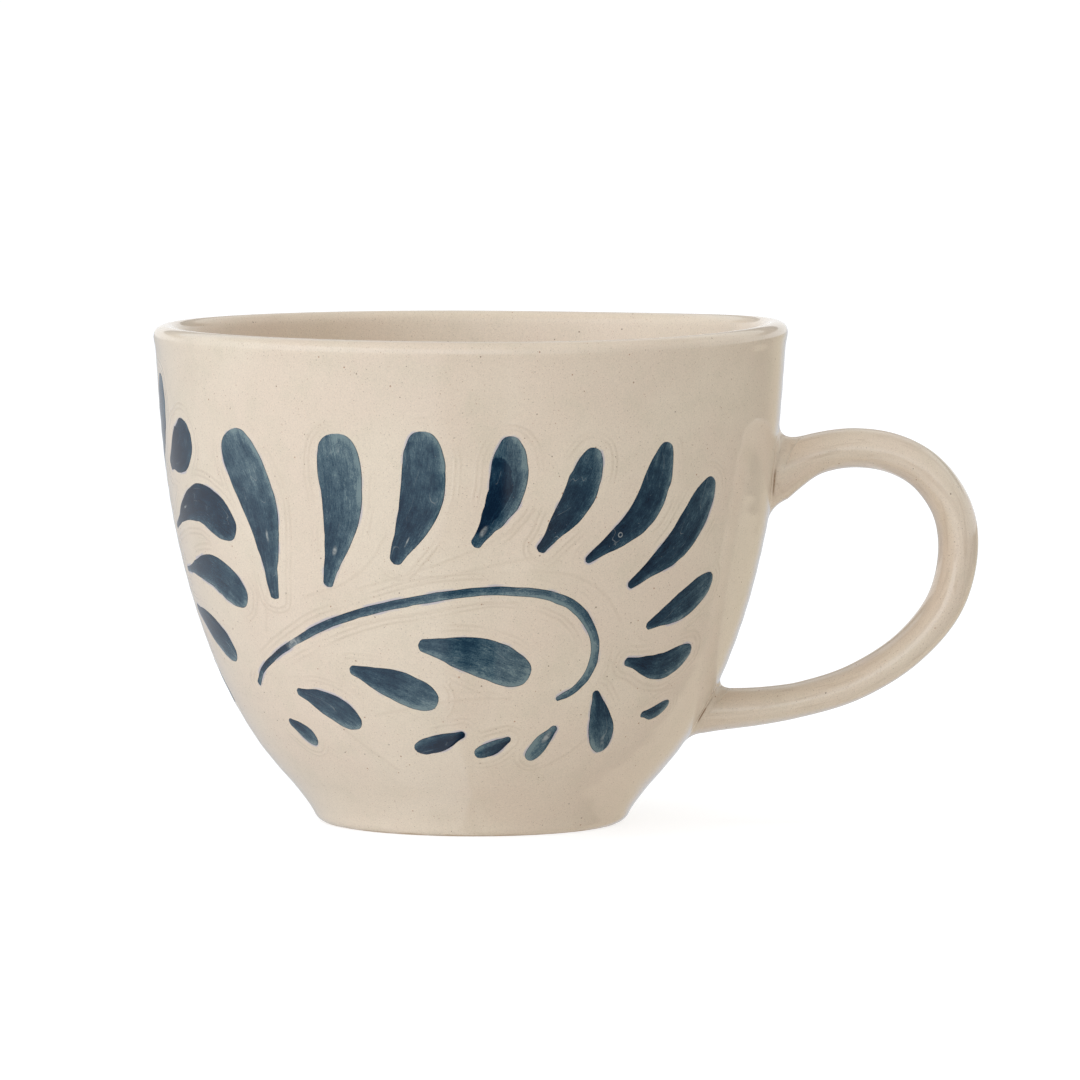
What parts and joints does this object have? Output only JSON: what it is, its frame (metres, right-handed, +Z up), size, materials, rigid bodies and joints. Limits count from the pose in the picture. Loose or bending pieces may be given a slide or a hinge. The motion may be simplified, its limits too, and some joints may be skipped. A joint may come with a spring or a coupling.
{
  "type": "stoneware mug",
  "caption": "Rounded glazed stoneware mug on a small foot, with a pulled loop handle and painted leaf sprays in cobalt blue.",
  "frame": {"origin": "on the axis of the bowl, at the level of the table it stands on", "axes": "+Z up along the bowl's axis, +X from the axis towards the handle, -Y towards the front of the painting"},
  "size_m": [0.157, 0.1204, 0.095],
  "materials": {
    "stoneware_glaze": "clear gloss glaze over warm cream stoneware with fine iron specks",
    "handle_glaze": "clear gloss glaze, thinner over the edges of the pulled rod",
    "luting_slip": "glazed over, a little browner than the body",
    "cobalt_wash": "brushed cobalt under the gloss glaze, streaky, darker where it pooled"
  },
  "bodies": {
    "root": {"back_base_leaf_1": "cobalt_wash", "back_base_leaf_2": "cobalt_wash", "back_base_leaf_3": "cobalt_wash", "back_base_leaf_4": "cobalt_wash", "back_inner_leaf_1": "cobalt_wash", "back_inner_leaf_2": "cobalt_wash", "back_inner_leaf_3": "cobalt_wash", "back_outer_leaf_1": "cobalt_wash", "back_outer_leaf_2": "cobalt_wash", "back_outer_leaf_3": "cobalt_wash", "back_outer_leaf_4": "cobalt_wash", "back_outer_leaf_5": "cobalt_wash", "back_outer_leaf_6": "cobalt_wash", "back_outer_leaf_7": "cobalt_wash", "back_outer_leaf_8": "cobalt_wash", "back_outer_leaf_9": "cobalt_wash", "back_stem": "cobalt_wash", "body": "stoneware_glaze", "front_base_leaf_1": "cobalt_wash", "front_base_leaf_2": "cobalt_wash", "front_base_leaf_3": "cobalt_wash", "front_base_leaf_4": "cobalt_wash", "front_inner_leaf_1": "cobalt_wash", "front_inner_leaf_2": "cobalt_wash", "front_inner_leaf_3": "cobalt_wash", "front_inner_leaf_4": "cobalt_wash", "front_outer_leaf_1": "cobalt_wash", "front_outer_leaf_10": "cobalt_wash", "front_outer_leaf_2": "cobalt_wash", "front_outer_leaf_3": "cobalt_wash", "front_outer_leaf_4": "cobalt_wash", "front_outer_leaf_5": "cobalt_wash", "front_outer_leaf_6": "cobalt_wash", "front_outer_leaf_7": "cobalt_wash", "front_outer_leaf_8": "cobalt_wash", "front_outer_leaf_9": "cobalt_wash", "front_stem": "cobalt_wash", "handle": "handle_glaze", "left_base_leaf_1": "cobalt_wash", "left_base_leaf_2": "cobalt_wash", "left_base_leaf_3": "cobalt_wash", "left_base_leaf_4": "cobalt_wash", "left_inner_leaf_1": "cobalt_wash", "left_inner_leaf_2": "cobalt_wash", "left_inner_leaf_3": "cobalt_wash", "left_inner_leaf_4": "cobalt_wash", "left_outer_leaf_1": "cobalt_wash", "left_outer_leaf_2": "cobalt_wash", "left_outer_leaf_3": "cobalt_wash", "left_outer_leaf_4": "cobalt_wash", "left_outer_leaf_5": "cobalt_wash", "left_outer_leaf_6": "cobalt_wash", "left_outer_leaf_7": "cobalt_wash", "left_outer_leaf_8": "cobalt_wash", "left_outer_leaf_9": "cobalt_wash", "left_stem": "cobalt_wash", "lower_slip_joint": "luting_slip", "upper_slip_joint": "luting_slip"}
  },
  "joints": []
}
